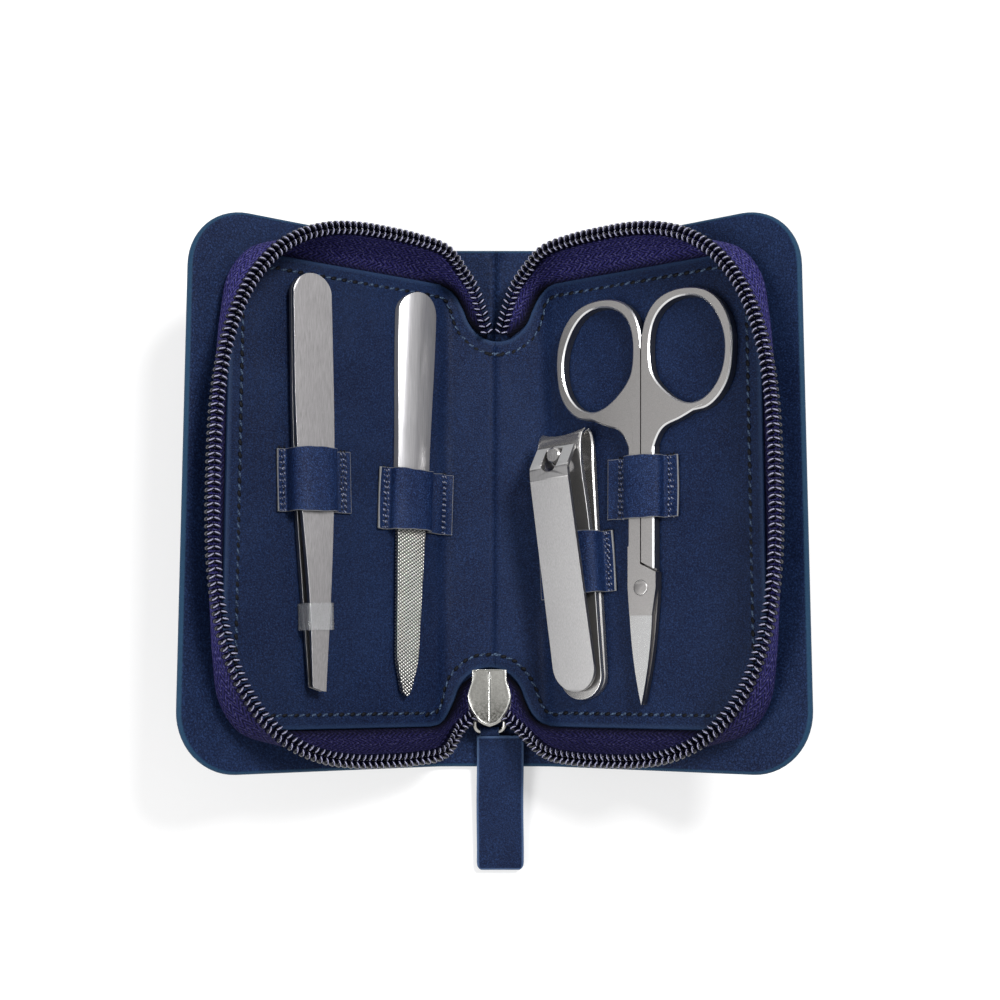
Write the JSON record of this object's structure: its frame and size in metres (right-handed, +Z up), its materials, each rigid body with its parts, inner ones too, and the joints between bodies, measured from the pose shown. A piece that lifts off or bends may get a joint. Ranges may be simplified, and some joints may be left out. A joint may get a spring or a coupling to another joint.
{
  "type": "manicure set case",
  "caption": "Zip-around leather case, open like a book, with tweezers, nail file, nail clipper and scissors held under leather loops; wire puller with a leather strap",
  "frame": {"origin": "middle of the spine's outer face, which the open case stands on", "axes": "+Y along the spine, away from the zip slider's puller; +Z up, out of the open case; +X towards the half with the scissors and clipper"},
  "size_m": [0.1256, 0.1381, 0.0464],
  "materials": {
    "cover_leather": "fine grained, satin",
    "lining_leather": "fine grained, matte",
    "stiffener_board": "plain",
    "zip_tape": "woven",
    "zip_chain": "moulded",
    "nickel": "satin nickel",
    "satin_steel": "satin",
    "polished_steel": "polished",
    "clear_plastic": "clear soft plastic"
  },
  "bodies": {
    "spine": {"cover_spine": "cover_leather", "lining_spine": "lining_leather", "zip_leads": "zip_chain", "zip_leads_tape": "zip_tape", "zip_tails": "zip_chain", "zip_tails_tape": "zip_tape", "zip_slider": "nickel"},
    "left_half": {"cover_left": "cover_leather", "stiffener_left": "stiffener_board", "lining_left": "lining_leather", "zip_tape_left": "zip_tape", "zip_chain_left": "zip_chain", "loop_tweezers": "lining_leather", "loop_file": "lining_leather"},
    "right_half": {"cover_right": "cover_leather", "stiffener_right": "stiffener_board", "lining_right": "lining_leather", "zip_tape_right": "zip_tape", "zip_chain_right": "zip_chain", "loop_scissors": "lining_leather", "loop_clipper": "lining_leather"},
    "tweezers": {"tweezers_lower_arm": "satin_steel"},
    "tweezers_spring_arm": {"tweezers_upper_arm": "satin_steel"},
    "tweezers_sleeve": {"tweezers_sleeve": "clear_plastic"},
    "file": {"file_blade": "satin_steel", "file_handle": "polished_steel"},
    "clipper": {"clipper_lower_arm": "satin_steel", "clipper_rivet": "satin_steel"},
    "clipper_jaw": {"clipper_upper_arm": "satin_steel"},
    "clipper_pin": {"clipper_pin": "satin_steel"},
    "clipper_lever": {"clipper_lever": "satin_steel"},
    "scissors": {"scissors_lower_half": "satin_steel", "scissors_screw": "satin_steel"},
    "scissors_blade": {"scissors_upper_half": "satin_steel"},
    "pull_ring": {"pull_ring": "nickel"},
    "pull_strap": {"pull_strap": "lining_leather"}
  },
  "joints": [
    {"name": "left_fold", "type": "hinge", "parent": "spine", "child": "left_half", "pos_m": [-0.012, 0, 0.0018], "axis": [0, 1, 0], "range_deg": [-35, 55]},
    {"name": "right_fold", "type": "hinge", "parent": "spine", "child": "right_half", "pos_m": [0.012, 0, 0.0018], "axis": [0, -1, 0], "range_deg": [-35, 55]},
    {"name": "tweezers_slide", "type": "slide", "parent": "left_half", "child": "tweezers", "axis": [0.0294, -0.9994, -0.0206], "range_m": [-0.0035, 0]},
    {"name": "tweezers_squeeze", "type": "hinge", "parent": "tweezers", "child": "tweezers_spring_arm", "pos_m": [-0.03853, 0.03598, 0.02636], "axis": [-0.8186, -0.0359, 0.5732], "range_deg": [-0.7, 0], "stiffness_Nm_per_rad": 2},
    {"name": "sleeve_slide", "type": "slide", "parent": "tweezers", "child": "tweezers_sleeve", "axis": [-0.0294, 0.9994, 0.0206], "range_m": [-0.012, 0]},
    {"name": "file_slide", "type": "slide", "parent": "left_half", "child": "file", "axis": [-0.0223, -0.9996, 0.0156], "range_m": [-0.004, 0]},
    {"name": "clipper_slide", "type": "slide", "parent": "right_half", "child": "clipper", "axis": [-0.05, 0.9981, -0.035], "range_m": [-0.001, 0]},
    {"name": "clipper_squeeze", "type": "hinge", "parent": "clipper", "child": "clipper_jaw", "pos_m": [0.01897, -0.0383, 0.01132], "axis": [0.8176, 0.061, 0.5725], "range_deg": [-1.3, 0], "stiffness_Nm_per_rad": 2},
    {"name": "lever_swivel", "type": "hinge", "parent": "clipper", "child": "clipper_pin", "pos_m": [0.01741, 0.00871, 0.00852], "axis": [0.5736, 0, -0.8192], "range_deg": [-50, 0]},
    {"name": "lever_lift", "type": "hinge", "parent": "clipper_pin", "child": "clipper_lever", "pos_m": [0.01327, 0.01015, 0.01429], "axis": [0.8176, 0.061, 0.5725], "range_deg": [-110, 0]},
    {"name": "scissors_slide", "type": "slide", "parent": "right_half", "child": "scissors", "axis": [-0.0109, -0.9999, -0.0076], "range_m": [-0.005, 0]},
    {"name": "scissors_open", "type": "hinge", "parent": "scissors", "child": "scissors_blade", "pos_m": [0.03188, -0.02, 0.01865], "axis": [0.5736, 0, -0.8192], "range_deg": [-1.2, 0]},
    {"name": "ring_swing", "type": "hinge", "parent": "spine", "child": "pull_ring", "pos_m": [-0.0012, -0.0438, 0.0043], "axis": [1, 0, 0], "range_deg": [-8, 0]},
    {"name": "strap_swing", "type": "hinge", "parent": "pull_ring", "child": "pull_strap", "pos_m": [-0.0012, -0.05035, 0.0035], "axis": [1, 0, 0], "range_deg": [-88, 0]}
  ]
}
